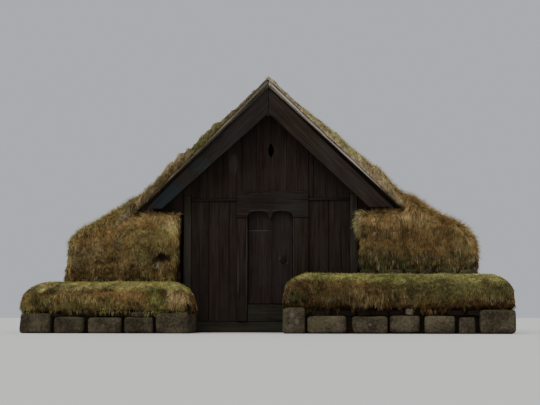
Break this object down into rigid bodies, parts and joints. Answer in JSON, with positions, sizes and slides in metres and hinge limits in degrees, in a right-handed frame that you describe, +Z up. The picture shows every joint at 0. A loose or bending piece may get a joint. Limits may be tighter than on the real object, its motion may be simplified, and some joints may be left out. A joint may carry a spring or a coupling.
{
  "type": "turf house",
  "caption": "Small turf house: dark timber gable with a low inward-opening door, steep turf roof, thick turf side walls on stone footings, low stone and turf yard walls in front.",
  "frame": {"origin": "bottom centre of the whole building's box, at ground level", "axes": "+Z up; the timber front with the door faces -Y; +X to the right for someone facing the front"},
  "size_m": [8, 6.6, 4.3],
  "materials": {
    "field_stone": "matte",
    "turf": "matte",
    "front_timber": "matte",
    "barge_timber": "matte",
    "verge_timber": "matte",
    "door_timber": "matte",
    "inner_timber": "matte",
    "wrought_iron": "matte"
  },
  "bodies": {
    "house": {"barge_boards_left": "barge_timber", "barge_boards_right": "barge_timber", "corner_posts": "front_timber", "door_header": "front_timber", "door_jambs": "front_timber", "door_lintel": "inner_timber", "door_sill": "front_timber", "floor_boards": "inner_timber", "floor_joists": "inner_timber", "front_gable_planks": "front_timber", "front_planks_left": "front_timber", "front_planks_right": "front_timber", "front_rails": "front_timber", "gable_sills": "front_timber", "hinge_pins": "wrought_iron", "rafters_left": "inner_timber", "rafters_right": "inner_timber", "rear_gable_planks": "front_timber", "rear_planks": "front_timber", "rear_rail": "front_timber", "ridge_beam": "inner_timber", "roof_boards_left": "inner_timber", "roof_boards_right": "inner_timber", "roof_turf_left": "turf", "roof_turf_right": "turf", "side_planks": "inner_timber", "side_posts": "inner_timber", "side_sills": "inner_timber", "stone_footing_left": "field_stone", "stone_footing_right": "field_stone", "tie_beams": "inner_timber", "turf_wall_left": "turf", "turf_wall_right": "turf", "verge_timbers_left": "verge_timber", "verge_timbers_right": "verge_timber", "wall_plates": "inner_timber", "yard_wall_stones_left": "field_stone", "yard_wall_stones_right": "field_stone", "yard_wall_turf_left": "turf", "yard_wall_turf_right": "turf"},
    "door": {"door_leaf": "door_timber", "door_face_planks": "door_timber", "door_ledges": "door_timber", "hinge_straps": "wrought_iron", "door_ring": "wrought_iron"}
  },
  "joints": [
    {"name": "door_hinge", "type": "hinge", "parent": "house", "child": "door", "pos_m": [-0.371, -1.945, 1.28], "axis": [0, 0, 1], "range_deg": [0, 95]}
  ]
}
